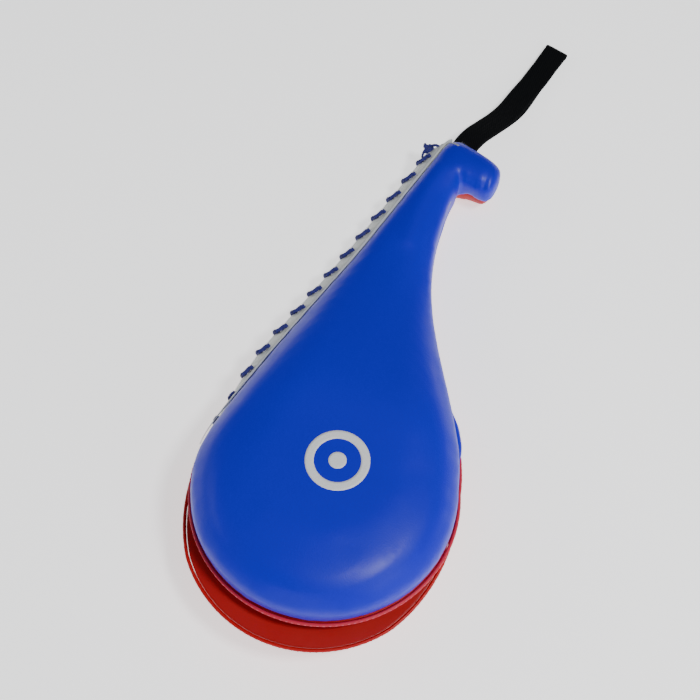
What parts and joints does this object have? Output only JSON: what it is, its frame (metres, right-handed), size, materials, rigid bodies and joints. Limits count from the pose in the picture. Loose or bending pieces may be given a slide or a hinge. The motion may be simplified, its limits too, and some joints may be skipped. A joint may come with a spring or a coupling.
{
  "type": "double kick paddle",
  "caption": "Double-bladed padded kick paddle with a hooked grip, a laced white spine and a webbing wrist loop.",
  "frame": {"origin": "on the flat rear face, under the centre of the round belly", "axes": "+Y along the paddle from the belly to the grip, +Z from the rear blade to the front blade, +X towards the hook"},
  "size_m": [0.1859, 0.5561, 0.0794],
  "materials": {
    "blue_leather": "satin grained synthetic leather",
    "red_leather": "satin grained synthetic leather",
    "foam": "closed-cell foam",
    "fibre_board": "matt fibre board",
    "wood_core": "plain plywood",
    "red_lining": "satin synthetic leather",
    "red_welt": "turned leather edge",
    "white_leather": "satin white synthetic leather",
    "navy_thread": "waxed braided thread",
    "black_webbing": "woven webbing",
    "tack_thread": "sewing thread"
  },
  "bodies": {
    "grip": {"front_grip_cover": "blue_leather", "rear_grip_cover": "red_leather", "front_hook_cover": "blue_leather", "rear_hook_cover": "red_leather", "hook_band": "blue_leather", "front_grip_foam": "foam", "rear_grip_foam": "foam", "handle_core": "wood_core", "hook_arm": "wood_core", "side_gusset": "blue_leather", "end_patch": "blue_leather", "front_spine_panel": "white_leather", "rear_spine_panel": "white_leather", "spine_lacing": "navy_thread", "lacing_knot": "navy_thread", "strap_anchor": "black_webbing"},
    "front_blade": {"front_cover": "blue_leather", "front_foam": "foam", "front_board": "fibre_board", "front_lining": "red_lining", "front_welt": "red_welt"},
    "rear_blade": {"rear_cover": "red_leather", "rear_foam": "foam", "rear_board": "fibre_board", "rear_lining": "red_lining", "rear_welt": "red_welt"},
    "strap": {"wrist_strap": "black_webbing", "strap_tack": "tack_thread"}
  },
  "joints": [
    {"name": "front_blade_flex", "type": "hinge", "parent": "grip", "child": "front_blade", "pos_m": [0, 0.035, 0.0465], "axis": [-1, 0, 0], "range_deg": [-1.7, 8], "stiffness_Nm_per_rad": 12},
    {"name": "rear_blade_flex", "type": "hinge", "parent": "grip", "child": "rear_blade", "pos_m": [0, 0.035, 0.026], "axis": [1, 0, 0], "range_deg": [-1.7, 8], "stiffness_Nm_per_rad": 12},
    {"name": "strap_swing", "type": "hinge", "parent": "grip", "child": "strap", "pos_m": [0.003, 0.3075, 0.023], "axis": [0.9285, -0.3714, 0], "range_deg": [-60, 75]}
  ]
}
